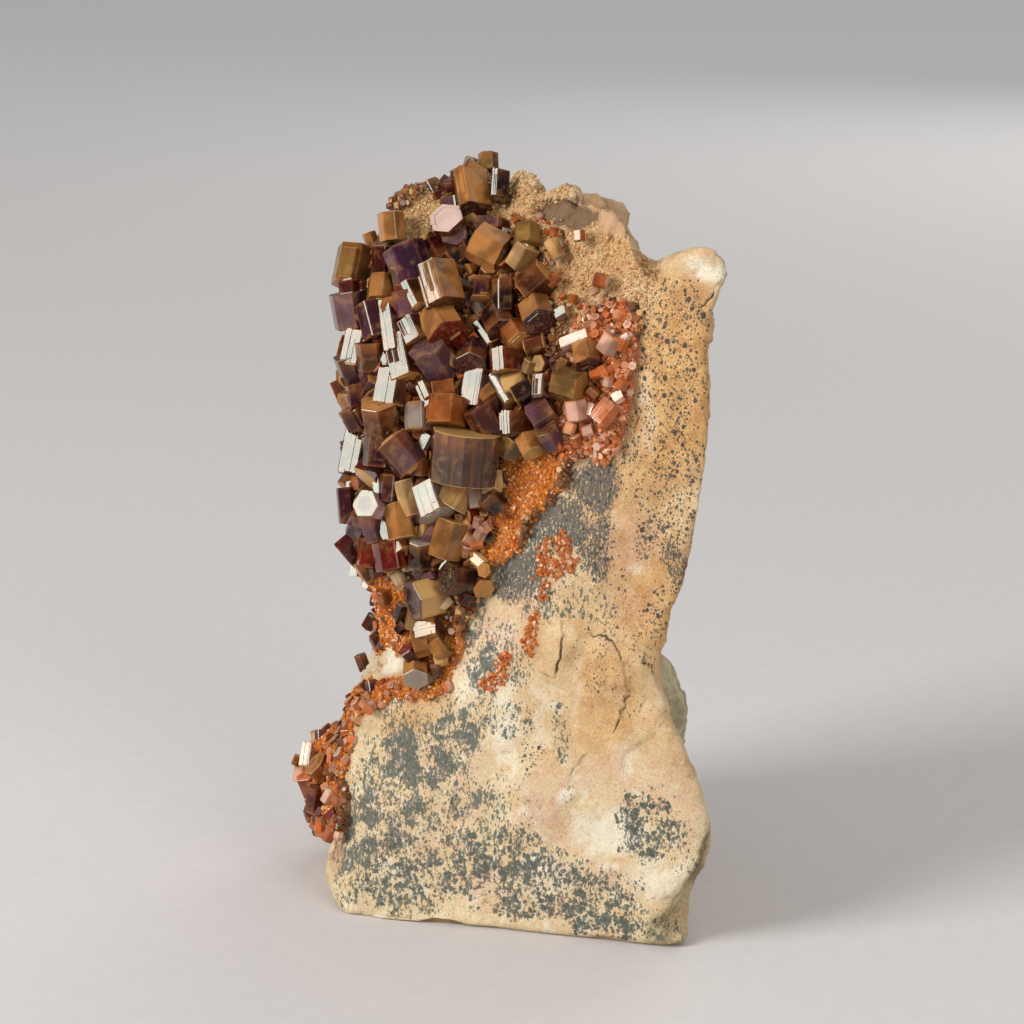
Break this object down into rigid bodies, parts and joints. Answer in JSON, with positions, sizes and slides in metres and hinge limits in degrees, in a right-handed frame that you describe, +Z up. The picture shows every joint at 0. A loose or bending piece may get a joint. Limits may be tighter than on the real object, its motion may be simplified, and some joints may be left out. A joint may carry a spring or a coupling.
{
  "type": "vanadinite cluster",
  "caption": "Upright broken block of pale stone with a crust of stout, glossy, reddish-brown hexagonal crystals over its top and left side.",
  "frame": {"origin": "the middle of the specimen's box, on the surface that it stands on", "axes": "+Z up the specimen, -Y out of the show side, +X to the right as the show side is seen"},
  "size_m": [0.0528, 0.0524, 0.0919],
  "materials": {
    "stone": "dry matt, pale cream to ochre with black dendrites",
    "vanadinite": "glossy, near-metallic crystal faces",
    "druse": "fine sparkling crystals"
  },
  "bodies": {
    "root": {"matrix": "stone", "vanadinite_crust": "vanadinite", "druse_patch_upper": "druse", "druse_patch_middle": "druse", "druse_patch_lower": "druse"}
  },
  "joints": []
}
